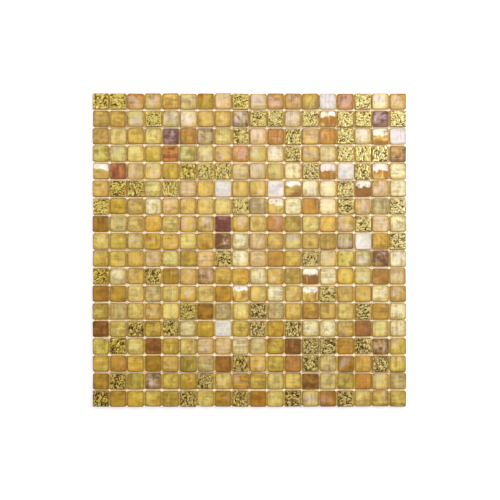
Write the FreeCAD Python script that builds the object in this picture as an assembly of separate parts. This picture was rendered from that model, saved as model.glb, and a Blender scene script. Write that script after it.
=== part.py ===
"""Sheet of small glass mosaic tiles: 18 rows of 18 tesserae held face up on a glass-fibre net.

The frame is in millimetres. The origin is the middle of the sheet, on the underside of the net.
+X runs to the right and +Y up the sheet as it is seen from its face, and +Z points out of the face.
"""

import FreeCAD, Part
import math
import os
import random

# The blend, row by row from the top, with one letter for the glass of each tessera.
BLEND = (
    "GGAOHMAMGMABOWBGCA",
    "THSGKCTHIGGMGFGGPG",
    "TSHSPAISGMBGTAGCFW",
    "OSSHROSTASCGTMGGGI",
    "FRMSAGGGMMSCGFWGFC",
    "TGGSGMTWTHWFCCGFTC",
    "GATCHTSSGKFCBCGTKG",
    "UKSHSHTPHSBOSHTGMC",
    "SHHAHSAICMTSTOIWHG",
    "HHHMSOMGCMBHGMOSIC",
    "GCTGATITHCHOFCHSBM",
    "BBSKSHSBFHCSFGTACT",
    "OKSTSGUKSGKTATSGBC",
    "USGOGCAWHGAGCCOUSC",
    "OGSUHSMMCMAUGGBGIH",
    "HBHBTOKBGTHBGKBTGH",
    "BGOIHHGSAOSHUKOASK",
    "GBHHOGSBGASGSBGSTO",
)
ROWS = len(BLEND)
COLUMNS = len(BLEND[0])

# Each glass of the blend, and the name that its tesserae go by.
GOLD_LEAF = "G"
GLASSES = {
    GOLD_LEAF: "gold_leaf_tesserae",
    "H": "honey_glass_tesserae",
    "S": "straw_glass_tesserae",
    "C": "cream_glass_tesserae",
    "O": "olive_glass_tesserae",
    "K": "khaki_glass_tesserae",
    "T": "tan_glass_tesserae",
    "A": "amber_glass_tesserae",
    "B": "copper_glass_tesserae",
    "R": "rust_glass_tesserae",
    "U": "umber_glass_tesserae",
    "P": "plum_glass_tesserae",
    "M": "rose_glass_tesserae",
    "I": "iris_glass_tesserae",
    "W": "opal_glass_tesserae",
    "F": "flashed_amber_tesserae",
}

# Every tessera, and the open joint between one and the next.
TESSERA_SIDE = 15.0
TESSERA_THICKNESS = 4.0
JOINT = 1.4

# A pressed tessera leaves its mould through the wide end, so its sides lean in towards the back.
PRESSED_CORNER = 1.2
PRESSED_ARRIS_WIDTH = 0.7
PRESSED_ARRIS_DROP = 0.6
PRESSED_DRAFT = 0.35

# A gold-leaf tessera is cut from a sandwich of glass and leaf, so it is square and upright.
CUT_ARRIS_WIDTH = 0.3
CUT_ARRIS_DROP = 0.3

# Hand setting: how far a tessera may sit off the middle of its place, and how far it may turn.
SEATING_PLAY = 0.3
SEATING_TURN_DEG = 1.0
SETTING_SEED = 18

# Corners broken off: row and column from the top left, which corner (right is 1, 0; up is 0, 1),
# and how much of its two sides is gone.
CHIPS = (
    {"place": (10, 5), "corner": (-1, -1), "along_x": 3.6, "along_y": 2.8},
    {"place": (15, 1), "corner": (1, 1), "along_x": 4.6, "along_y": 2.4},
    {"place": (18, 7), "corner": (-1, -1), "along_x": 2.9, "along_y": 2.9},
)

# The net: warp yarns run up the sheet and lie lowest, and weft yarns cross over them. It stays in
# from the outer tesserae by a margin or more, and each yarn is cut a tail's length past the middle
# of the last one that it crosses.
NET_PITCH = 5.0
NET_MARGIN = 1.0
YARN_TAIL = 0.8
WARP_WIDTH = 0.8
WARP_THICKNESS = 0.25
WEFT_WIDTH = 1.1
WEFT_THICKNESS = 0.2

TESSERA_PITCH = TESSERA_SIDE + JOINT
SHEET_WIDTH = COLUMNS * TESSERA_PITCH - JOINT
SHEET_HEIGHT = ROWS * TESSERA_PITCH - JOINT
NET_TOP = WARP_THICKNESS + WEFT_THICKNESS


def clipped_square(side, cuts):
    """Corner points of a square, anticlockwise; cuts gives each corner's loss along X and along Y."""
    half = side / 2
    points = []
    for right, up in ((1, 1), (-1, 1), (-1, -1), (1, -1)):
        along_x, along_y = cuts[right, up]
        on_side = FreeCAD.Vector(right * half, up * (half - along_y), 0)
        on_end = FreeCAD.Vector(right * (half - along_x), up * half, 0)
        pair = [on_side, on_end] if right == up else [on_end, on_side]
        points += pair if along_x > 0 else pair[:1]
    return points


def inset(points, distance):
    """The same outline with each of its sides moved inwards by distance."""
    moved = []
    for i, corner in enumerate(points):
        before = corner - points[i - 1]
        after = points[(i + 1) % len(points)] - corner
        normals = [FreeCAD.Vector(-side.y, side.x, 0).normalize() for side in (before, after)]
        spread = 1 + normals[0].dot(normals[1])
        moved.append(corner + (normals[0] + normals[1]) * (distance / spread))
    return moved


def stacked_solid(rings):
    """A closed solid through flat rings of equally many points, given from the lowest to the highest."""
    faces = [Part.Face(Part.makePolygon(ring + ring[:1])) for ring in (rings[0], rings[-1])]
    for low, high in zip(rings, rings[1:]):
        for i in range(len(low)):
            j = (i + 1) % len(low)
            faces.append(Part.Face(Part.makePolygon([low[i], low[j], high[j], high[i], low[i]])))
    solid = Part.Solid(Part.Shell(faces))
    solid.fix(1e-6, 1e-6, 1e-6)
    return solid


def at_height(points, height):
    return [FreeCAD.Vector(point.x, point.y, height) for point in points]


def tessera(outline, draft, arris_width, arris_drop):
    """One tessera with its back at height 0: leaning sides up to the waist, then a bevel to the face."""
    back = at_height(inset(outline, draft), 0)
    waist = at_height(outline, TESSERA_THICKNESS - arris_drop)
    face = at_height(inset(outline, arris_width), TESSERA_THICKNESS)
    return stacked_solid([back, waist, face])


def pressed_tessera(chip=None):
    cuts = {(x, y): (PRESSED_CORNER, PRESSED_CORNER) for x in (1, -1) for y in (1, -1)}
    if chip:
        cuts[chip["corner"]] = (chip["along_x"], chip["along_y"])
    outline = clipped_square(TESSERA_SIDE, cuts)
    return tessera(outline, PRESSED_DRAFT, PRESSED_ARRIS_WIDTH, PRESSED_ARRIS_DROP)


def cut_tessera():
    uncut = {(x, y): (0, 0) for x in (1, -1) for y in (1, -1)}
    return tessera(clipped_square(TESSERA_SIDE, uncut), 0, CUT_ARRIS_WIDTH, CUT_ARRIS_DROP)


def seat_of(row, column, setter):
    """Where the tessera of a row and column lies on the net, as it was set by hand."""
    middle_x = (column - (COLUMNS + 1) / 2) * TESSERA_PITCH
    middle_y = ((ROWS + 1) / 2 - row) * TESSERA_PITCH
    off_x = setter.uniform(-SEATING_PLAY, SEATING_PLAY)
    off_y = setter.uniform(-SEATING_PLAY, SEATING_PLAY)
    turn = setter.uniform(-SEATING_TURN_DEG, SEATING_TURN_DEG)
    place = FreeCAD.Vector(middle_x + off_x, middle_y + off_y, NET_TOP)
    return FreeCAD.Placement(place, FreeCAD.Rotation(FreeCAD.Vector(0, 0, 1), turn))


def set_tesserae():
    """All the tesserae of the sheet, in one list for each glass of the blend."""
    whole = pressed_tessera()
    gold = cut_tessera()
    chipped = {chip["place"]: pressed_tessera(chip) for chip in CHIPS}
    setter = random.Random(SETTING_SEED)
    found = {glass: [] for glass in GLASSES}
    for row, letters in enumerate(BLEND, 1):
        for column, glass in enumerate(letters, 1):
            pattern = gold if glass == GOLD_LEAF else chipped.get((row, column), whole)
            placed = pattern.copy()
            placed.Placement = seat_of(row, column, setter)
            found[glass].append(placed)
    return found


def yarn_middles(sheet_span):
    """Middles of the yarns that lie side by side across one span of the sheet."""
    pitches = math.floor((sheet_span - 2 * (NET_MARGIN + YARN_TAIL)) / NET_PITCH)
    return [(i - pitches / 2) * NET_PITCH for i in range(pitches + 1)]


def warp_yarns():
    lowest = yarn_middles(SHEET_HEIGHT)[0] - YARN_TAIL
    corner = FreeCAD.Vector(-WARP_WIDTH / 2, lowest, 0)
    yarn = Part.makeBox(WARP_WIDTH, -2 * lowest, WARP_THICKNESS, corner)
    return [yarn.translated(FreeCAD.Vector(middle, 0, 0)) for middle in yarn_middles(SHEET_WIDTH)]


def weft_yarns():
    leftmost = yarn_middles(SHEET_WIDTH)[0] - YARN_TAIL
    corner = FreeCAD.Vector(leftmost, -WEFT_WIDTH / 2, WARP_THICKNESS)
    yarn = Part.makeBox(-2 * leftmost, WEFT_WIDTH, WEFT_THICKNESS, corner)
    return [yarn.translated(FreeCAD.Vector(0, middle, 0)) for middle in yarn_middles(SHEET_HEIGHT)]


def write(name, solids):
    Part.makeCompound(solids).exportStep(os.path.join("parts", name + ".step"))


def main():
    os.makedirs("parts", exist_ok=True)
    for glass, tesserae in set_tesserae().items():
        write(GLASSES[glass], tesserae)
    write("net_warp_yarns", warp_yarns())
    write("net_weft_yarns", weft_yarns())


main()
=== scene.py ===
"""Mosaic tile sheet: small glass tesserae, pressed or cut, set by hand on a glass-fibre net.

Blender lengths are in metres. The sections follow the sheet as it is put together: the net, the
pressed tesserae glass by glass, the gold-leaf tesserae, and then the floor, the light and the camera.
"""

import math
import random

import bpy
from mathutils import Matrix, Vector, noise


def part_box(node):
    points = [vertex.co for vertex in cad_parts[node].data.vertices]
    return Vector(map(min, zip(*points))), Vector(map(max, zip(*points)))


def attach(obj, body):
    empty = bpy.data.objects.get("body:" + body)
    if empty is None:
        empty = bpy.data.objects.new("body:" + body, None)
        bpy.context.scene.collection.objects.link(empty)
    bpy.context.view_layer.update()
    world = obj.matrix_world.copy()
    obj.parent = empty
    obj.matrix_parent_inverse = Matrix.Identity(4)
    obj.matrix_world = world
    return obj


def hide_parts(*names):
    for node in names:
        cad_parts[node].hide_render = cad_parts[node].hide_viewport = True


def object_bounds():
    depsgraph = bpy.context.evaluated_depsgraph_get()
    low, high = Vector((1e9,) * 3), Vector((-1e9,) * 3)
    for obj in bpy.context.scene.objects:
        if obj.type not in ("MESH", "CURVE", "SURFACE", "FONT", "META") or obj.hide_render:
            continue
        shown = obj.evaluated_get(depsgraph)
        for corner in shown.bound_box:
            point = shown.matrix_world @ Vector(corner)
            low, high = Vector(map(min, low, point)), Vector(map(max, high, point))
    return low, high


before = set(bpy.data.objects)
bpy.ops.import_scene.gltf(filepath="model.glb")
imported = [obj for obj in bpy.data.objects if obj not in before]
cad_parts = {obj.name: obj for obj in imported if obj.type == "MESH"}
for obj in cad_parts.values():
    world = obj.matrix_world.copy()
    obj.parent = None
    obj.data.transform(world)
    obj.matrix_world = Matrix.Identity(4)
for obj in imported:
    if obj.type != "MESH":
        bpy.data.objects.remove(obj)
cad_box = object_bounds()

# The net: glass-fibre yarn in an open weave. Pairs of thin warp yarns run up the sheet, pinched
# together between the crossings, and flat weft yarns lie across them. A milky acrylic coating
# sticks the crossings together and keeps the cut ends from fraying.

MM = 0.001

YARN_COATING = (255, 250, 232)
YARN_SHADE = (244, 232, 200)
FIBRES_ACROSS = 5200.0
FIBRES_ALONG = 260.0
COATING_LUMPS = 900.0
STRAND_SIDES = 6
STRAND_TURN = math.radians(360 / STRAND_SIDES)
WARP_PINCH = 0.38
WEFT_PINCH = 0.12
CREASE = math.radians(40)


def linear(colour):
    """A colour written as on a paint card, 0 to 255, as the light it stands for."""
    parts = [part / 255 for part in colour]
    return [p / 12.92 if p <= 0.04045 else ((p + 0.055) / 1.055) ** 2.4 for p in parts] + [1.0]


class Signal:
    """A number that varies over a surface, wrapped so that shader maths reads as plain maths."""

    def __init__(self, nodes, socket):
        self.nodes, self.socket = nodes, socket

    def maths(self, operation, *terms):
        entries = dict(enumerate(terms))
        return Signal(self.nodes, self.nodes.node("ShaderNodeMath", {"operation": operation}, entries))

    def __add__(self, other):
        return self.maths("ADD", self, other)

    def __sub__(self, other):
        return self.maths("SUBTRACT", self, other)

    def __rsub__(self, other):
        return self.maths("SUBTRACT", other, self)

    def __mul__(self, other):
        return self.maths("MULTIPLY", self, other)

    def __pow__(self, other):
        return self.maths("POWER", self, other)

    def __abs__(self):
        return self.maths("ABSOLUTE", self)

    def over(self, other):
        """The larger of this and another."""
        return self.maths("MAXIMUM", self, other)

    def folded(self, length):
        """Back and forth between 0 and a length, as this goes on."""
        return self.maths("PINGPONG", self, length)

    def rise(self, low, high):
        """0 up to low, 1 from high on, and a smooth step between."""
        settings = {"interpolation_type": "SMOOTHSTEP"}
        entries = {"Value": self, "From Min": low, "From Max": high}
        return Signal(self.nodes, self.nodes.node("ShaderNodeMapRange", settings, entries))

    __radd__ = __add__
    __rmul__ = __mul__


class Nodes:
    """A node tree, with one method that makes any node and short ones for what is often needed."""

    def __init__(self, tree):
        self.tree = tree

    def plug(self, entry, term):
        """Links a signal or a socket to a node's entry, or sets the entry to a plain value."""
        if isinstance(term, Signal):
            term = term.socket
        if isinstance(term, bpy.types.NodeSocket):
            self.tree.links.new(term, entry)
        else:
            entry.default_value = term

    def node(self, kind, settings, entries, result=0):
        node = self.tree.nodes.new(kind)
        for name, value in settings.items():
            setattr(node, name, value)
        for name, term in entries.items():
            self.plug(node.inputs[name], term)
        return node.outputs[result]

    def parts(self, vector):
        """The three numbers of a vector."""
        first = self.node("ShaderNodeSeparateXYZ", {}, {"Vector": vector})
        return [Signal(self, part) for part in first.node.outputs]

    def place(self, kind):
        """The place of each point of the surface, read one way or another."""
        return self.node("ShaderNodeTexCoord", {}, {}, kind)

    def attribute(self, name):
        return self.node("ShaderNodeAttribute", {"attribute_name": name}, {}, "Vector")

    def light_path(self, kind):
        """1 for rays of one kind, and 0 for all others."""
        return Signal(self, self.node("ShaderNodeLightPath", {}, {}, kind))

    def stretched(self, vector, scale):
        return self.node("ShaderNodeVectorMath", {"operation": "MULTIPLY"}, {0: vector, 1: scale})

    def cloud(self, vector, scale, detail=2.0, roughness=0.5, twist=0.0):
        """Smooth noise from about -0.5 to 0.5, at so many swells to each unit of the vector."""
        entries = {"Vector": vector, "Scale": scale, "Detail": detail}
        entries |= {"Roughness": roughness, "Distortion": twist}
        return Signal(self, self.node("ShaderNodeTexNoise", {}, entries)) - 0.5

    def blend(self, under, upper, share, way="MIX"):
        """Two colours, or a colour and a number, mixed by a share of the second."""
        settings = {"data_type": "RGBA", "blend_type": way, "clamp_factor": True}
        return self.node("ShaderNodeMix", settings, {0: share, 6: under, 7: upper}, 2)

    def shade(self, colour, number):
        """A colour made lighter or darker by a number."""
        return self.blend(colour, number, 1.0, "MULTIPLY")

    def relief(self, height, depth):
        """A normal for a height of 0 to 1 that stands for so many metres."""
        return self.node("ShaderNodeBump", {}, {"Height": height, "Distance": depth})


class Finish(Nodes):
    """A new material."""

    def __init__(self, name):
        self.material = bpy.data.materials.new(name)
        self.material.use_nodes = True
        super().__init__(self.material.node_tree)

    def settle(self, **entries):
        """Sets the shader's own entries, whose names are written with underscores."""
        for name, term in entries.items():
            self.plug(self.tree.nodes["Principled BSDF"].inputs[name.replace("_", " ")], term)
        return self.material


def mesh_piece(name, points, faces, material, node):
    """A smooth mesh piece that stands for a CAD node, creased where its faces turn sharply."""
    mesh = bpy.data.meshes.new(name)
    mesh.from_pydata(points, [], faces)
    mesh.polygons.foreach_set("use_smooth", [True] * len(mesh.polygons))
    mesh.set_sharp_from_angle(angle=CREASE)
    mesh.materials.append(material)
    piece = bpy.data.objects.new(name, mesh)
    bpy.context.scene.collection.objects.link(piece)
    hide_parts(node)
    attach(piece, "root")
    return piece


def yarn_spans(node, axis):
    """The two sides of every yarn of a node, read along the axis that the yarns lie across."""
    sides = sorted({round(vertex.co[axis], 6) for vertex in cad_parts[node].data.vertices})
    return list(zip(sides[::2], sides[1::2]))


def middles(node, axis):
    return [(low + high) / 2 for low, high in yarn_spans(node, axis)]


def coated_yarn(name, lengthwise):
    """Milky coating over fibres that run along one axis of the sheet."""
    finish = Finish(name)
    where = finish.place("Object")
    fibres = [FIBRES_ACROSS] * 3
    fibres[lengthwise] = FIBRES_ALONG
    strands = finish.cloud(finish.stretched(where, fibres), 1.0, detail=3.0)
    lumps = finish.cloud(where, COATING_LUMPS)
    share = (strands * 0.7 + lumps * 0.5).rise(-0.25, 0.25)
    return finish.settle(
        Base_Color=finish.blend(linear(YARN_COATING), linear(YARN_SHADE), share),
        Roughness=lumps * 0.2 + 0.52,
        Normal=finish.relief(strands, 0.05 * MM),
        Coat_Weight=0.2,
        Coat_Roughness=0.35,
    )


def yarn_widths(low, high, crossings, pinch):
    """Places along a yarn and its width there, as a share: full at each crossing, pinched between."""
    stops = [low, *crossings, high]
    places = []
    for start, end in zip(stops, stops[1:]):
        third = (end - start) / 3
        places += [(start, 1.0), (start + third, 1 - pinch), (end - third, 1 - pinch)]
    return [*places, (high, 1.0)]


def strand_faces(first, rings):
    """The faces of one strand, its two ends closed, whose points start at first."""
    last = first + (rings - 1) * STRAND_SIDES
    faces = []
    for ring in range(first, last, STRAND_SIDES):
        for turn in range(STRAND_SIDES):
            a, b = ring + turn, ring + (turn + 1) % STRAND_SIDES
            faces.append((a, b, b + STRAND_SIDES, a + STRAND_SIDES))
    faces.append(tuple(reversed(range(first, first + STRAND_SIDES))))
    faces.append(tuple(range(last, last + STRAND_SIDES)))
    return faces


def yarns(node, axis, crossings, pinch):
    """The yarns that lie across one axis: flat six-sided strands, narrowed between the crossings."""
    low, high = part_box(node)
    along = 1 - axis
    middle_z, half_z = (low.z + high.z) / 2, (high.z - low.z) / 2
    places = yarn_widths(low[along], high[along], crossings, pinch)
    points, faces = [], []
    for side, other_side in yarn_spans(node, axis):
        middle, half = (side + other_side) / 2, (other_side - side) / 2
        strand = strand_faces(len(points), len(places))
        faces += strand if axis == 1 else [face[::-1] for face in strand]
        for place, width in places:
            for turn in range(STRAND_SIDES):
                angle = STRAND_TURN * turn
                point = [0.0, 0.0, middle_z + half_z * math.sin(angle) / math.sin(STRAND_TURN)]
                point[along] = place
                point[axis] = middle + half * width * math.cos(angle)
                points.append(point)
    material = coated_yarn(node.replace("_yarns", "_coating"), along)
    return mesh_piece(node + "_woven", points, faces, material, node)


yarns("net_warp_yarns", 0, middles("net_weft_yarns", 1), WARP_PINCH)
yarns("net_weft_yarns", 1, middles("net_warp_yarns", 0), WEFT_PINCH)

# Pressed tesserae: molten glass pressed face up in square moulds, with sides that lean in towards
# the back, edges rounded by fire polishing, and faces a little domed, wavy and off level. The hot
# faces were fumed with metal salts, whose thin film leaves the edges in the glass's own colour.

# The levels of the net and the face, read from the solids in metres. All else is in millimetres.
NET_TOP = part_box("net_weft_yarns")[1].z
FACE_TOP = cad_box[1].z
THICKNESS = (FACE_TOP - NET_TOP) / MM
PITCH = 16.4
COLUMNS = 18

# The mould, in millimetres. A solid's corner that has lost more than a whole one is broken off.
ARRIS_DROP = 0.6
ARRIS_WIDTH = 0.4
DRAFT = 0.35
CORNER_RADIUS = 1.6
WHOLE_CORNER = 2.0
BREAK_RAGGEDNESS = 0.05
QUARTERS = ((1, 1), (-1, 1), (-1, -1), (1, -1))
SIDE_STEPS = 9
CORNER_STEPS = 5
ARRIS_STEPS = 4
FACE_RINGS = (0.94, 0.86, 0.72, 0.52, 0.27)

# Where a solid's waist and sides are looked for, in millimetres, and the outermost as a share.
WAIST_BELOW_FACE = (0.1, 1.0)
OUTERMOST = 0.9
SIDE_BAND = 0.05

# How far a face falls from flat, in millimetres, and the wandering of its waves.
FACE_PILLOW = 0.05
PILLOW_REACH = 7
FACE_TILT = 0.02
FACE_DOME = 0.06
DOME_RANGE = (-0.3, 1.0)
DOME_REACH_SQUARED = 56
FACE_WAVE = 0.05
FACE_WAVES_PER_MM = 0.13
WAVE_FIELD = 90

# Patterns of the glass: swells to the millimetre, one way or along X, Y and Z. The patterns of two
# tesserae lie far apart in one wide field.
PATTERN_FIELD = 400
MOTTLE = 0.15
UPRIGHT_STREAKS = (0.03, 0.55, 0.55)
LEVEL_STREAKS = (0.5, 0.03, 0.5)
SWIRL = (0.05, 0.14, 0.1)
TONE_SPREAD = 0.46
HUE_SPREAD = 0.45
FILM_CLOUDS = 0.1
GLOW_CLOUDS = 0.2
BLUSH_CLOUDS = 0.16
PEARL_CLOUDS = 0.1
RIPPLES = 0.5

# Where the film thins out, from a middle up and to the left of the face's own, in millimetres.
THIN_FROM = 4.0
THIN_TO = 7.6
THIN_OFF_MIDDLE = 0.8
THIN_RAGGEDNESS = 6.0

# The rim of a face and the line round it where the arris shows, in millimetres from the middle.
RIM = (6.0, 7.5)
RIM_RAGGEDNESS = 1.6
ARRIS_LINE = (6.9, 7.15)
ARRIS_DEPTHS = (0.02, 0.1)
WALL_DEPTHS = (0.6, 1.0)
# A painted glow on the tesserae's sides and arris, standing for light that comes through the glass.
PAINTED_WALL_GLOW = (220, 160, 44)

# The film is painted fuller, and more pearly, towards the upper right of the sheet: a painted sheen where
# the light is reflected there.
FILM_SHEEN_TREND = 0.5
PEARL = (232, 212, 230)
PEARL_SPREAD = 0.7
PEARL_SHARE = 0.55

CASTING_DAY = "b"


class Seat:
    """Where one tessera lies, how it is turned, and how much of each corner is gone, in millimetres."""

    def __init__(self, column, row, points):
        self.column, self.row = column, row
        xs, ys = [p.x for p in points], [p.y for p in points]
        self.x, self.y = (min(xs) + max(xs)) / 2, (min(ys) + max(ys)) / 2
        shallow, deep = WAIST_BELOW_FACE
        waist = [p for p in points if shallow < THICKNESS - p.z < deep]
        right = [p for p in waist if p.x - self.x > OUTERMOST * (max(xs) - self.x)]
        low, high = min(right, key=lambda p: p.y), max(right, key=lambda p: p.y)
        self.turn = math.atan2(low.x - high.x, high.y - low.y)
        local = [self.inward(p) for p in waist]
        self.half = max(x for x, y in local)
        self.losses = {}
        for right, up in QUARTERS:
            on_end = max(x * right for x, y in local if y * up > self.half - SIDE_BAND)
            on_side = max(y * up for x, y in local if x * right > self.half - SIDE_BAND)
            self.losses[right, up] = (self.half - on_end, self.half - on_side)

    def inward(self, point):
        """A point of the sheet as seen from the tessera's own middle and sides."""
        x, y = point.x - self.x, point.y - self.y
        c, s = math.cos(self.turn), math.sin(self.turn)
        return x * c + y * s, y * c - x * s

    def outward(self, x, y, z):
        """A point of the tessera, in metres on the sheet."""
        c, s = math.cos(self.turn), math.sin(self.turn)
        return (self.x + x * c - y * s) * MM, (self.y + x * s + y * c) * MM, NET_TOP + z * MM


def seats_of(node):
    """The seats of a node's tesserae, found by sorting its points into the places of the sheet."""
    found = {}
    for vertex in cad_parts[node].data.vertices:
        point = Vector((vertex.co.x / MM, vertex.co.y / MM, (vertex.co.z - NET_TOP) / MM))
        column = round(point.x / PITCH + (COLUMNS - 1) / 2)
        row = round((COLUMNS - 1) / 2 - point.y / PITCH)
        found.setdefault((row, column), []).append(point)
    return [Seat(column, row, points) for (row, column), points in sorted(found.items())]


def pressed_corner(seat, quarter, chance):
    """The points round one corner of a pressed tessera, rounded by the mould or broken off."""
    right, up = QUARTERS[quarter]
    lost_x, lost_y = seat.losses[right, up]
    shares = [step / CORNER_STEPS for step in range(CORNER_STEPS + 1)]
    if max(lost_x, lost_y) < WHOLE_CORNER:
        centre = Vector((right, up)) * (seat.half - CORNER_RADIUS)
        angles = [math.radians(90 * (quarter + share)) for share in shares]
        return [centre + CORNER_RADIUS * Vector((math.cos(a), math.sin(a))) for a in angles]
    on_side = Vector((right * seat.half, up * (seat.half - lost_y)))
    on_end = Vector((right * (seat.half - lost_x), up * seat.half))
    start, stop = (on_side, on_end) if right == up else (on_end, on_side)
    ragged = [1.0, *(1 - chance.uniform(0, BREAK_RAGGEDNESS) for _ in shares[2:]), 1.0]
    return [start.lerp(stop, share) * fit for share, fit in zip(shares, ragged)]


def pressed_outline(seat, chance):
    """The widest outline of a pressed tessera, anticlockwise from its upper right corner."""
    corners = [pressed_corner(seat, quarter, chance) for quarter in range(4)]
    outline = []
    for corner, after in zip(corners, corners[1:] + corners[:1]):
        outline += corner
        outline += [corner[-1].lerp(after[0], step / SIDE_STEPS) for step in range(1, SIDE_STEPS)]
    return outline


def inset(outline, distance):
    """An outline with each point moved inwards, square to the line through its neighbours."""
    moved = []
    for i, point in enumerate(outline):
        way = (outline[(i + 1) % len(outline)] - outline[i - 1]).normalized()
        moved.append(point + Vector((-way.y, way.x)) * distance)
    return moved


def face_shape(chance):
    """How deep a pressed face lies at each point: off level, domed and wavy, each its own way."""
    tilt = Vector((chance.gauss(0, FACE_TILT), chance.gauss(0, FACE_TILT)))
    dome = chance.uniform(*DOME_RANGE) * FACE_DOME
    lie = Vector([chance.uniform(0, WAVE_FIELD) for _ in range(3)])

    def depth(point):
        wave = FACE_WAVE * noise.noise(Vector((point.x, point.y, 0)) * FACE_WAVES_PER_MM + lie)
        fall = (abs(point.x) / PILLOW_REACH) ** 6 + (abs(point.y) / PILLOW_REACH) ** 6
        bulge = dome * point.length_squared / DOME_REACH_SQUARED
        return tilt.dot(point) + bulge + wave + FACE_PILLOW * fall

    return depth


class Casting:
    """The points, faces and attributes of all tesserae of one glass."""

    def __init__(self, glass):
        self.chance = random.Random(glass + CASTING_DAY)
        self.points, self.faces = [], []
        self.place, self.grain, self.luck = [], [], []

    def begin(self):
        """Draws the lot of the next tessera: how its pattern lies, and its shade of the glass."""
        self.first = len(self.points)
        self.lot = [self.chance.random() for _ in range(3)]
        self.quarters = self.chance.randrange(4)
        self.offset = [self.chance.uniform(-PATTERN_FIELD, PATTERN_FIELD) for _ in range(3)]

    def lean(self, part, place, trend):
        """Ties one number of the lot, by a share, to the tessera's place on the sheet."""
        self.lot[part] = trend * place + (1 - trend) * self.lot[part]

    def add(self, seat, x, y, z, depth):
        self.points.append(seat.outward(x, y, z))
        turned = [(x, y), (-y, x), (-x, -y), (y, -x)][self.quarters]
        self.place += [x, y, depth]
        self.grain += [turned[0] + self.offset[0], turned[1] + self.offset[1], z + self.offset[2]]
        self.luck += self.lot

    def bridge(self, low, high, count):
        """Quads between two rings of equally many points."""
        for i in range(count):
            j = (i + 1) % count
            self.faces.append((low + i, low + j, high + j, high + i))

    def pour(self, node, material):
        piece = mesh_piece(node.replace("tesserae", "set"), self.points, self.faces, material, node)
        for name, values in {"place": self.place, "grain": self.grain, "luck": self.luck}.items():
            made = piece.data.attributes.new(name, "FLOAT_VECTOR", "POINT")
            made.data.foreach_set("vector", values)
        return piece


def press_one(casting, seat):
    """One pressed tessera: the back, the rings of the rounded arris, and the rings of the face."""
    outline = pressed_outline(seat, casting.chance)
    count = len(outline)
    depth_at = face_shape(casting.chance)
    face_edge = inset(outline, ARRIS_WIDTH)
    middle = Vector((0, 0))
    rings = [[point * share for point in face_edge] for share in FACE_RINGS]
    highest = min(depth_at(point) for ring in [face_edge, *rings, [middle]] for point in ring)
    waist = THICKNESS - ARRIS_DROP

    def face_height(point):
        return THICKNESS - (depth_at(point) - highest)

    for point in inset(outline, DRAFT):
        casting.add(seat, point.x, point.y, 0, THICKNESS)
    for step in range(ARRIS_STEPS + 1):
        angle = math.radians(90 * step / ARRIS_STEPS)
        moved = inset(outline, ARRIS_WIDTH * (1 - math.cos(angle)))
        for point, rim in zip(moved, face_edge):
            top = face_height(rim)
            z = waist + (top - waist) * math.sin(angle)
            casting.add(seat, point.x, point.y, z, top - z)
    for ring in rings:
        for point in ring:
            casting.add(seat, point.x, point.y, face_height(point), 0)
    casting.add(seat, 0, 0, face_height(middle), 0)

    first, last = casting.first, len(casting.points) - 1
    for low in range(first, last - count, count):
        casting.bridge(low, low + count, count)
    inner = last - count
    casting.faces += [(inner + i, inner + (i + 1) % count, last) for i in range(count)]
    casting.faces.append(tuple(reversed(range(first, first + count))))


def press(node, material):
    """All the pressed tesserae of one glass."""
    casting = Casting(node)
    for seat in seats_of(node):
        casting.begin()
        # Painted sheen: each tessera's film lot leans towards the upper right of the sheet.
        upper_right = (seat.column + 2 * (COLUMNS - seat.row)) / (3 * COLUMNS)
        casting.lean(2, upper_right, FILM_SHEEN_TREND)
        press_one(casting, seat)
    return casting.pour(node, material)


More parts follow.
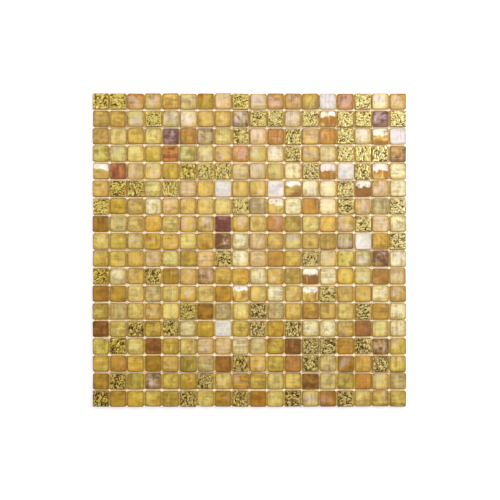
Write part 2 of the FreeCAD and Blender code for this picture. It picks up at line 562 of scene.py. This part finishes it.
class PressedGlass(Finish):
    """A glass of the blend, with the patterns that its body, its film and its edges have in common."""

    def __init__(self, name, streaks, clouds):
        super().__init__(name)
        self.x, self.y, self.depth = self.parts(self.attribute("place"))
        self.grain = self.attribute("grain")
        self.tone, self.hue, self.fuming = [part - 0.5 for part in self.parts(self.attribute("luck"))]
        self.streaks, self.clouds = streaks, clouds
        self.mottle = self.cloud(self.grain, MOTTLE, detail=3.0, roughness=0.55, twist=0.3)
        self.lines = self.drawn(UPRIGHT_STREAKS) * 1.5 + self.drawn(LEVEL_STREAKS) * 0.8

    def drawn(self, swells):
        """Fine straight streaks, drawn out one way by the press."""
        return self.cloud(self.stretched(self.grain, swells), 1.0, detail=2.0, roughness=0.6, twist=0.15)

    def patch(self, swells, detail=2.0, twist=1.0):
        """Broad soft patches."""
        return self.cloud(self.grain, swells, detail=detail, twist=twist)

    def melt(self, body, warm):
        """The body of the glass: two tones swirled together, lighter or darker by tessera and in clouds."""
        swirl = self.cloud(self.stretched(self.grain, SWIRL), 1.0, detail=3.0, roughness=0.6, twist=0.8)
        glass = self.blend(linear(body), linear(warm), (swirl + self.hue * HUE_SPREAD).rise(-0.1, 0.1))
        clouded = self.mottle * (1.3 * self.clouds)
        light = 1.0 + self.tone * TONE_SPREAD + clouded + self.lines * (0.3 * self.streaks)
        return self.shade(glass, light)

    def lustre(self, film, glow, sheen):
        """The colours of the film: two or three tones in patches, and pearl where it is thickest, a painted
        sheen that is fullest towards the upper right of the sheet.
        """
        glows = (self.patch(GLOW_CLOUDS) + self.fuming * 0.3).rise(-0.1, 0.1)
        colour = self.blend(linear(film), linear(glow), glows)
        if sheen:
            blush = self.patch(BLUSH_CLOUDS, detail=1.0, twist=1.2) + self.hue * 0.3
            colour = self.blend(colour, linear(sheen), blush.rise(0.0, 0.12))
        pearly = self.patch(PEARL_CLOUDS, detail=1.5, twist=0.6) + self.fuming * PEARL_SPREAD
        colour = self.blend(colour, linear(PEARL), pearly.rise(0.1, 0.26) * PEARL_SHARE)
        clouded = self.mottle * (1.3 * self.clouds)
        return self.shade(colour, 1.02 + self.lines * (0.45 * self.streaks) + clouded)

    def film_cover(self, cover, edge, up, swirl, thinning):
        """How much film lies at each point, and how much is left of it after it thins out."""
        cloud = self.cloud(self.grain, FILM_CLOUDS, detail=2.5, roughness=0.55, twist=swirl)
        reach = cloud + self.fuming * 0.3 + self.lines * 0.06 + self.y * up
        border = (0.5 - cover) * 0.5
        covered = reach.rise(border - edge, border + edge)
        off_x, off_y = abs(self.x + THIN_OFF_MIDDLE), abs(self.y - THIN_OFF_MIDDLE)
        way_out = (off_x ** 4 + off_y ** 4) ** (1 / 4)
        thin = (way_out + cloud * THIN_RAGGEDNESS).rise(THIN_FROM, THIN_TO)
        return covered, covered * (1 - thin * thinning)

    def darken(self, glass, warm, deep):
        """Brown cords and seeds in the darker clouds and streaks."""
        dark = (self.mottle * (-1.8 * self.clouds) - self.lines * (0.7 * self.streaks)).rise(0.0, 0.6)
        glass = self.blend(glass, linear(warm), dark * 0.6)
        return self.blend(glass, linear(deep), dark * 0.32)

    def edge(self, glass, deep):
        """The glass's own deep colour at the rim and the arris, where no film lies, with painted shade on
        the right and lower rims and a little painted glow on the arris line.
        """
        # The rim is measured from a middle a little up and to the left, so the right and lower rims come out
        # wider: painted shade.
        out = (abs(self.x + 0.08) ** 6 + abs(self.y - 0.04) ** 6) ** (1 / 6)
        rim = (out + self.mottle * RIM_RAGGEDNESS).rise(*RIM)
        line = out.rise(*ARRIS_LINE).over(self.depth.rise(*ARRIS_DEPTHS))
        glass = self.blend(glass, linear(deep), (rim * 0.3).over(line * 0.8))
        return self.blend(glass, linear(PAINTED_WALL_GLOW), line * 0.1)


def lustre_glass(
    name, body, warm, deep, film, glow, sheen=None, film_cover=0.5, film_strength=0.5, film_edge=0.12,
    film_up=0.0, film_swirl=1.6, film_thinning=0.8, streaks=1.0, clouds=1.0, rough=0.35,
):
    """Glass with a fumed film: body and warm are its two tones, deep its edges, film and glow the lustre."""
    finish = PressedGlass(name, streaks, clouds)
    glass = finish.melt(body, warm)
    lustre = finish.lustre(film, glow, sheen)
    covered, film_left = finish.film_cover(film_cover, film_edge, film_up, film_swirl, film_thinning)
    glass = finish.blend(glass, lustre, film_left * film_strength)
    glass = finish.darken(glass, warm, deep)
    bright_lines = finish.lines.rise(0.02, 0.34) * covered
    glass = finish.blend(glass, linear(glow), bright_lines * (0.8 * film_strength * streaks))
    glass = finish.edge(glass, deep)
    # The sides are painted with a warm glow, standing for the light that the glass lets through into the
    # joints.
    wall = finish.depth.rise(*WALL_DEPTHS)
    ripples = finish.cloud(finish.grain, RIPPLES, detail=3.0)
    return finish.settle(
        Base_Color=finish.blend(glass, linear(PAINTED_WALL_GLOW), wall * 0.8),
        Roughness=rough,
        Specular_IOR_Level=0.2,
        Normal=finish.relief(ripples * 0.5 + finish.lines * 0.3, 0.02 * MM),
        Coat_Weight=1 - wall * 0.9,
        Coat_Roughness=0.09,
        Coat_IOR=1.5,
        Subsurface_Weight=0.15,
        Subsurface_Radius=(1.0, 0.75, 0.3),
        Subsurface_Scale=0.5 * MM,
    )


# Honey glass: the commonest of the blend, a warm yellow melt with a little sulphur in it.
# It is pressed like all the others and fumed to a thin, even lustre.

honey = lustre_glass(
    "honey_glass",
    body=(196, 163, 54), warm=(199, 148, 48), deep=(109, 75, 15),
    film=(224, 204, 109), glow=(230, 201, 106), sheen=(228, 198, 101),
    film_cover=0.65, film_strength=0.6,
)
press("honey_glass_tesserae", honey)

# Straw glass: a melt with less colour in it, paler and greener than the honey glass.
# It is pressed and then fumed to a milky lustre.

straw = lustre_glass(
    "straw_glass",
    body=(208, 174, 77), warm=(203, 164, 76), deep=(130, 96, 25),
    film=(236, 224, 143), glow=(222, 217, 139), sheen=(232, 208, 131),
    film_cover=0.7, film_strength=0.6,
)
press("straw_glass_tesserae", straw)

# Cream glass: pale yellow glass, pressed and fumed thickly. Its nearly white faces are partly the film
# and partly painted glare of the lamps, and only the edges show amber.

cream = lustre_glass(
    "cream_glass",
    body=(216, 190, 108), warm=(204, 174, 88), deep=(149, 108, 32),
    film=(243, 236, 205), glow=(234, 222, 175), sheen=(240, 224, 168),
    film_cover=0.75, film_strength=0.85,
)
press("cream_glass_tesserae", cream)

# Olive glass: yellow glass with iron in it, which turns it green where it is thick.
# It is pressed in the same moulds and fumed lightly.

olive = lustre_glass(
    "olive_glass",
    body=(198, 176, 68), warm=(178, 142, 48), deep=(101, 75, 16),
    film=(216, 208, 126), glow=(208, 200, 114), sheen=(206, 158, 83),
    film_cover=0.55, film_strength=0.52,
    streaks=1.2, clouds=1.3,
)
press("olive_glass_tesserae", olive)

# Khaki glass: a melt clouded with fine bubbles, so the pressed faces stay dull.
# It takes hardly any lustre from the fuming.

khaki = lustre_glass(
    "khaki_glass",
    body=(190, 166, 94), warm=(182, 153, 87), deep=(123, 99, 32),
    film=(210, 195, 132), glow=(206, 192, 139), sheen=(210, 182, 134),
    film_cover=0.65, film_strength=0.5,
    streaks=1.5, clouds=1.5, rough=0.5,
)
press("khaki_glass_tesserae", khaki)

# Tan glass: honey glass with a rosy cast from a trace of copper.
# It is pressed and fumed like the honey glass.

tan = lustre_glass(
    "tan_glass",
    body=(200, 160, 65), warm=(187, 144, 58), deep=(123, 76, 21),
    film=(228, 206, 113), glow=(222, 186, 100), sheen=(222, 190, 118),
    film_cover=0.65, film_strength=0.62,
)
press("tan_glass_tesserae", tan)

# Amber glass: coloured with sulphur and iron, deep yellow with orange swirls where the melt
# was stirred. It is pressed and fumed lightly.

amber = lustre_glass(
    "amber_glass",
    body=(184, 148, 41), warm=(182, 124, 33), deep=(112, 63, 11),
    film=(216, 200, 94), glow=(210, 176, 76), sheen=(222, 148, 66),
    film_cover=0.55, film_strength=0.55,
    streaks=1.1, clouds=1.1,
)
press("amber_glass_tesserae", amber)

# Copper glass: a browner amber, with copper in the melt, which streaks it.
# It is pressed like the others, and the thin film leaves its colour plain to see.

copper = lustre_glass(
    "copper_glass",
    body=(177, 137, 36), warm=(176, 120, 38), deep=(104, 56, 13),
    film=(190, 156, 54), glow=(188, 144, 60), sheen=(200, 132, 70),
    film_cover=0.5, film_strength=0.5,
    streaks=1.3, clouds=1.3,
)
press("copper_glass_tesserae", copper)

# Rust glass: red-brown right through, with a dark edge where it is thickest.
# It is pressed like the others and has next to no film.

rust = lustre_glass(
    "rust_glass",
    body=(184, 124, 50), warm=(146, 72, 50), deep=(101, 38, 13),
    film=(181, 136, 66), glow=(177, 126, 67),
    film_cover=0.3, film_strength=0.35,
    streaks=1.8, clouds=1.4,
)
press("rust_glass_tesserae", rust)

# Umber glass: dark brown from much iron and sulphur, with faint lighter streaks.
# It is pressed like the others and has little film.

umber = lustre_glass(
    "umber_glass",
    body=(168, 122, 32), warm=(140, 88, 32), deep=(88, 49, 9),
    film=(176, 134, 74), glow=(164, 118, 52),
    film_cover=0.35, film_strength=0.45, film_edge=0.14,
    streaks=2.0, clouds=1.6,
)
press("umber_glass_tesserae", umber)

# Plum glass: coloured purple-brown with manganese.
# It is pressed like the others, and the fuming left a lilac lustre on it.

plum = lustre_glass(
    "plum_glass",
    body=(140, 84, 56), warm=(118, 60, 42), deep=(65, 34, 14),
    film=(172, 132, 148), glow=(154, 130, 100), sheen=(184, 98, 92),
    film_cover=0.5, film_strength=0.85, film_edge=0.1,
    streaks=1.4, clouds=1.4,
)
press("plum_glass_tesserae", plum)

# Rose glass: honey glass again, pressed in the same moulds.
# A longer fuming left a pale pink and peach lustre on it.

rose = lustre_glass(
    "rose_glass",
    body=(204, 174, 83), warm=(204, 161, 81), deep=(136, 90, 29),
    film=(226, 210, 161), glow=(222, 200, 155), sheen=(224, 198, 153),
    film_cover=0.75, film_strength=0.65,
)
press("rose_glass_tesserae", rose)

# Iris glass: dark brown glass, pressed and then fumed the longest of all.
# The lustre is the strongest of the blend, lilac and green in turn.

iris = lustre_glass(
    "iris_glass",
    body=(168, 126, 60), warm=(118, 76, 44), deep=(96, 52, 18),
    film=(214, 176, 170), glow=(186, 176, 104), sheen=(203, 160, 98),
    film_cover=0.55, film_strength=0.9, film_edge=0.1, film_swirl=0.9,
    streaks=1.2, clouds=1.3,
)
press("iris_glass_tesserae", iris)

# Opal glass: milk-white glass, opaque with fine crystals.
# It is pressed like the others, under a mother-of-pearl film.

opal = lustre_glass(
    "opal_glass",
    body=(222, 214, 194), warm=(224, 214, 196), deep=(200, 176, 140),
    film=(224, 217, 214), glow=(232, 226, 214),
    film_cover=0.65, film_strength=0.8,
    streaks=0.7, clouds=0.8,
)
press("opal_glass_tesserae", opal)

# Flashed amber: amber glass whose upper part is painted white, a painted reflection of the lamps,
# with a ragged lower edge.

amber_under_painted_glare = lustre_glass(
    "flashed_amber_glass",
    body=(216, 184, 96), warm=(164, 108, 32), deep=(130, 79, 15),
    film=(255, 253, 244), glow=(250, 238, 196),
    film_cover=0.12, film_strength=0.97, film_edge=0.08, film_up=0.1, film_swirl=1.2, film_thinning=0.2,
    streaks=0.7, clouds=0.9,
)
press("flashed_amber_tesserae", amber_under_painted_glare)

# Gold-leaf tesserae: gold leaf laid on hammered glass and sealed under clear glass, then cut
# into squares, so that the edges are sharp and straight. The leaf is painted with highlights on its
# ridges and painted shade in its folds, with dark specks and cracks.

# The leaf's grid of points, and its depth, its folds and the edge of the cut, in millimetres.
LEAF_STEPS = 26
LEAF_BELOW_FACE = 0.02
LEAF_DEPTH = 0.36
CUT_ARRIS = 0.3
FOLDS_PER_MM = 0.58
FOLD_FIELD = 300
FOLD_STRETCHES = (Vector((1, 1)), Vector((0.5, 1.1)), Vector((1.1, 0.55)))
FOLD_SHARPNESS = 2.2
FINE_FOLDS = 2.3
FINE_SHARE = 0.44
BEND = 0.5
BENDS_PER_FOLD = 0.6
BENDS_APART = (Vector((31, 0, 0)), Vector((0, 47, 0)), Vector((0, 0, 59)))

# Depth marks of the cut sides, past those of the folds, which go from 0 to 1.
ARRIS_MARK = 2
BACK_MARK = 3

# The leaf's colours. It is painted paler to the right, as painted light, and redder and darker to the foot
# of the sheet, as painted shade.
LEAF_PAINTED_LIGHT_TREND = 0.75
DULL = (206, 154, 28)
DULL_IN_PAINTED_LIGHT = (222, 194, 88)
DULL_IN_PAINTED_SHADE = (208, 146, 24)
PAINTED_HIGHLIGHT = (255, 228, 104)
PAINTED_HIGHLIGHT_PALE = (255, 243, 184)
PAINTED_HIGHLIGHT_RED = (240, 186, 60)
FOLD_SHADE_BROWN = (66, 34, 2)
BORDER_BROWN = (176, 146, 66)
SIDE_OLIVE = (128, 98, 44)
LEAF_BORDER = (6.5, 6.9)
LEAF_SPECKS = 0.8
LEAF_CRACKS = 0.5


def crumple(point, lie):
    """How deep the leaf lies at a point, from 0 on a ridge to about 1 in a fold."""
    spot = Vector((point.x, point.y, 0)) * FOLDS_PER_MM + lie
    bent = spot + BEND * Vector([noise.noise(spot * BENDS_PER_FOLD + apart) for apart in BENDS_APART])
    coarse = 1 - abs(noise.noise(bent)) * FOLD_SHARPNESS
    fine = 1 - abs(noise.noise(bent * FINE_FOLDS)) * FOLD_SHARPNESS
    return min(1, max(0, (1 - FINE_SHARE) * coarse + FINE_SHARE * fine))


def grid_rim():
    """The places of the grid's outermost points, anticlockwise, counted row by row."""
    width = LEAF_STEPS + 1
    rim = list(range(LEAF_STEPS))
    rim += [j * width + LEAF_STEPS for j in range(LEAF_STEPS)]
    rim += [LEAF_STEPS * width + i for i in range(LEAF_STEPS, 0, -1)]
    return rim + [j * width for j in range(LEAF_STEPS, 0, -1)]


def cut_one(casting, seat):
    """One gold-leaf tessera: a crumpled face on a square grid, a narrow arris and upright sides."""
    lie = Vector([casting.chance.uniform(0, FOLD_FIELD) for _ in range(3)])
    stretch = casting.chance.choice(FOLD_STRETCHES)
    first, width = casting.first, LEAF_STEPS + 1
    steps = [2 * i / LEAF_STEPS - 1 for i in range(width)]
    for v in steps:
        for u in steps:
            point = Vector((u, v)) * (seat.half - CUT_ARRIS)
            fold = crumple(point * stretch, lie)
            height = THICKNESS - LEAF_BELOW_FACE - LEAF_DEPTH * fold
            casting.add(seat, point.x, point.y, height, fold)
    for j in range(LEAF_STEPS):
        for i in range(LEAF_STEPS):
            a = first + j * width + i
            casting.faces.append((a, a + 1, a + width + 1, a + width))

    rim = grid_rim()
    start, count = len(casting.points), len(rim)
    for z, mark in ((THICKNESS - CUT_ARRIS - LEAF_DEPTH / 2, ARRIS_MARK), (0, BACK_MARK)):
        for k in rim:
            casting.add(seat, steps[k % width] * seat.half, steps[k // width] * seat.half, z, mark)
    for k in range(count):
        after = (k + 1) % count
        casting.faces.append((first + rim[k], start + k, start + after, first + rim[after]))
    casting.bridge(start + count, start, count)
    casting.faces.append(tuple(reversed(range(start + count, start + 2 * count))))


def cut(node, material):
    """All the gold-leaf tesserae."""
    casting = Casting(node)
    for seat in seats_of(node):
        casting.begin()
        # Painted light and shade: each tessera's lot leans paler to the right, and redder and darker to the
        # foot.
        casting.lean(0, seat.column / COLUMNS, LEAF_PAINTED_LIGHT_TREND)
        casting.lean(1, seat.row / COLUMNS, LEAF_PAINTED_LIGHT_TREND)
        cut_one(casting, seat)
    return casting.pour(node, material)


def gold_leaf(name):
    """Crumpled leaf under glass: metal with painted highlights on its ridges and painted shade in its folds.
    """
    finish = Finish(name)
    x, y, fold = finish.parts(finish.attribute("place"))
    grain = finish.attribute("grain")
    pale, red, _ = finish.parts(finish.attribute("luck"))
    specks = finish.cloud(grain, LEAF_SPECKS, detail=3.0, roughness=0.6, twist=0.8)
    cracks = finish.cloud(grain, LEAF_CRACKS, detail=4.0, roughness=0.65, twist=1.5)
    dull = finish.blend(linear(DULL), linear(DULL_IN_PAINTED_LIGHT), pale)
    dull = finish.blend(dull, linear(DULL_IN_PAINTED_SHADE), red * 0.5)
    lit = finish.blend(linear(PAINTED_HIGHLIGHT), linear(PAINTED_HIGHLIGHT_PALE), pale)
    lit = finish.blend(lit, linear(PAINTED_HIGHLIGHT_RED), red * 0.3)
    # Painted highlight on the ridges, and painted shade in the folds with dark specks and cracks.
    bright = (cracks - fold * 0.5 + specks * 0.5).rise(-0.5, -0.16)
    leaf = finish.blend(dull, lit, bright)
    dark = (fold * 1.4 + specks * 0.8 + cracks * 1.2).rise(0.77 - red * 0.15, 1.14 - red * 0.2)
    leaf = finish.blend(leaf, linear(FOLD_SHADE_BROWN), dark * 0.95)
    border = abs(x).over(abs(y)).rise(*LEAF_BORDER)
    leaf = finish.blend(leaf, linear(BORDER_BROWN), border * 0.6)
    side = (fold - 1.05).rise(0.0, 0.4)
    leaf = finish.blend(leaf, linear(SIDE_OLIVE), side)
    # The cut sides are painted with the same warm glow, standing for light through the glass.
    wall = (fold - ARRIS_MARK).rise(0.1, 0.4)
    return finish.settle(
        Base_Color=finish.blend(leaf, linear(PAINTED_WALL_GLOW), wall),
        Metallic=(1 - side) * 0.7,
        Roughness=specks * 0.2 + 0.34,
        Specular_IOR_Level=0.2,
        Normal=finish.relief(1 - (fold * 0.6 + specks * 0.4), 0.05 * MM),
        Coat_Weight=0.3,
        Coat_Roughness=0.16,
    )


cut("gold_leaf_tesserae", gold_leaf("gold_leaf"))

# The floor: white board on which the sheet lies face up, wide enough to be the background too.
# Away from the sheet it is seen as plain white, so that no edge or falling off of light shows.
# In the open joints it has a painted glow that stands for the light through the glass, whitest at the
# crossings.

FLOOR_HALF = 12.0
FLOOR_BELOW_NET = 0.05 * MM
BOARD_WHITE = (255, 255, 255)
BOARD_GREY = (206, 206, 206)
BOARD_EDGE = (0.1455, 0.1475)
UNLIT = (0, 0, 0)

# The board's colours under the joints, tinted darker amber under the upright joints to stand for light
# through the glass, and the colours of the painted glow in them.
ROW_JOINT = (244, 238, 214)
UPRIGHT_JOINT_PAINTED_TINT = (232, 214, 160)
CROSSING_PAINTED_GLOW = (255, 244, 224)
ROW_PAINTED_GLOW = (255, 230, 150)
UPRIGHT_PAINTED_GLOW = (255, 226, 96)

# How strong that painted glow is at the crossings, as a share of white, and how much of it is lost
# between them and towards the top of the sheet.
CROSSING_STRENGTH = 0.54
LOST_IN_ROWS = 0.27
LOST_IN_UPRIGHTS = 0.25
LOST_PER_METRE_UP = 0.22
ROW_JOINT_FADES = (0.8 * MM, 1.6 * MM)
UPRIGHT_JOINT_FADES = (0.6 * MM, 1.8 * MM)

# The board away from the sheet: this share of white beside it, and all of it from far off on.
WHITE_BESIDE = 0.6
WHITE_FAR = (0.24, 0.9)


def board_finish(name):
    finish = Finish(name)
    across, up, _ = finish.parts(finish.place("Object"))
    way_out = abs(across).over(abs(up))
    clear = way_out.rise(*BOARD_EDGE)
    off_rows = abs(up).folded(PITCH / 2 * MM).rise(*ROW_JOINT_FADES)
    off_uprights = abs(across).folded(PITCH / 2 * MM).rise(*UPRIGHT_JOINT_FADES)
    # Painted glow and amber tint in the joints, standing for light through the glass.
    joint = finish.blend(linear(ROW_JOINT), linear(UPRIGHT_JOINT_PAINTED_TINT), off_rows)
    light = finish.blend(linear(ROW_PAINTED_GLOW), linear(UPRIGHT_PAINTED_GLOW), off_rows)
    light = finish.blend(linear(CROSSING_PAINTED_GLOW), light, off_uprights.over(off_rows))
    strength = CROSSING_STRENGTH - up * LOST_PER_METRE_UP
    strength = strength - off_uprights * LOST_IN_ROWS - off_rows * LOST_IN_UPRIGHTS
    seen = finish.light_path("Is Camera Ray").over(finish.light_path("Is Glossy Ray"))
    seen = seen.over(finish.light_path("Is Transmission Ray"))
    white = way_out.rise(*WHITE_FAR) * (1 - WHITE_BESIDE) + WHITE_BESIDE
    around = finish.blend(linear(UNLIT), linear(BOARD_WHITE), seen * white)
    return finish.settle(
        Base_Color=finish.blend(joint, linear(BOARD_GREY), clear),
        Roughness=0.9,
        Specular_IOR_Level=0.0,
        Emission_Color=finish.blend(finish.shade(light, strength), around, clear),
        Emission_Strength=1.0,
    )


board = bpy.data.meshes.new("white_board")
corners = [(FLOOR_HALF * right, FLOOR_HALF * up, 0) for right, up in QUARTERS]
board.from_pydata(corners, [], [(0, 1, 2, 3)])
board.materials.append(board_finish("white_board"))
floor = bpy.data.objects.new("white_board", board)
floor.location.z = -FLOOR_BELOW_NET
bpy.context.scene.collection.objects.link(floor)

# The light: two softboxes to the left and the right of the sheet, two lower ones from its upper
# corners, a wide panel beyond the top edge, which the slopes of the gold leaf mirror, and a dim one
# overhead. A dim pale tent stands round them all, white only where it is looked at directly.

SOFTBOX = (0.3, 0.3)
LAMPS = {
    "left_softbox": {"middle": Vector((-0.8, 0.13, 0.9)), "size": SOFTBOX, "watts": 2.95},
    "right_softbox": {"middle": Vector((0.8, 0.13, 0.9)), "size": SOFTBOX, "watts": 5.1},
    "upper_left_softbox": {"middle": Vector((-0.46, 0.56, 0.5)), "size": SOFTBOX, "watts": 1.05},
    "upper_right_softbox": {"middle": Vector((0.5, 0.56, 0.5)), "size": SOFTBOX, "watts": 2.15},
    "top_panel": {"middle": Vector((0.4, 0.8, 0.95)), "size": (0.9, 0.5), "watts": 4.6},
    "upper_panel": {"middle": Vector((0.14, 0.12, 1.5)), "size": (0.6, 0.45), "watts": 0.46},
}
TENT_TOP = 0.21
TENT_RIM = 0.3
TENT_RIM_HEIGHT = 0.35
TENT_UP_THE_SHEET = 0.25

for name, lamp in LAMPS.items():
    light = bpy.data.lights.new(name, "AREA")
    light.shape = "RECTANGLE"
    light.size, light.size_y = lamp["size"]
    light.energy = lamp["watts"]
    stand = bpy.data.objects.new(name, light)
    stand.location = lamp["middle"]
    stand.rotation_euler = (-lamp["middle"]).to_track_quat("-Z", "Y").to_euler()
    bpy.context.scene.collection.objects.link(stand)

tent = bpy.data.worlds.new("tent")
tent.use_nodes = True
bpy.context.scene.world = tent
cloth = Nodes(tent.node_tree)
_, up_way, height = cloth.parts(cloth.place("Generated"))
risen = abs(height).rise(0.0, TENT_RIM_HEIGHT)
lit = TENT_RIM - risen * (TENT_RIM - TENT_TOP) + up_way * TENT_UP_THE_SHEET
background = tent.node_tree.nodes["Background"]
cloth.plug(background.inputs["Strength"], lit.over(cloth.light_path("Is Camera Ray")))
cloth.plug(background.inputs["Color"], (1.0, 1.0, 1.0, 1.0))

# The camera: straight above the sheet, with the top of the picture towards +Y. The picture's width
# and the sheet's place in it are counted in its pixels.

CAMERA_HEIGHT = 1.5
SENSOR = 36.0
PICTURE_PIXELS = 500
SHEET_OFF_MIDDLE_PIXELS = 0.6
PIXEL_ON_SHEET = 0.9375 * MM

view = bpy.data.cameras.new("camera")
view.sensor_width = SENSOR
view.lens = SENSOR * CAMERA_HEIGHT / (PICTURE_PIXELS * PIXEL_ON_SHEET)
camera = bpy.data.objects.new("camera", view)
camera.location = (SHEET_OFF_MIDDLE_PIXELS * PIXEL_ON_SHEET, 0, FACE_TOP + CAMERA_HEIGHT)
bpy.context.scene.collection.objects.link(camera)
bpy.context.scene.camera = camera
bpy.context.scene.view_settings.view_transform = "Standard"
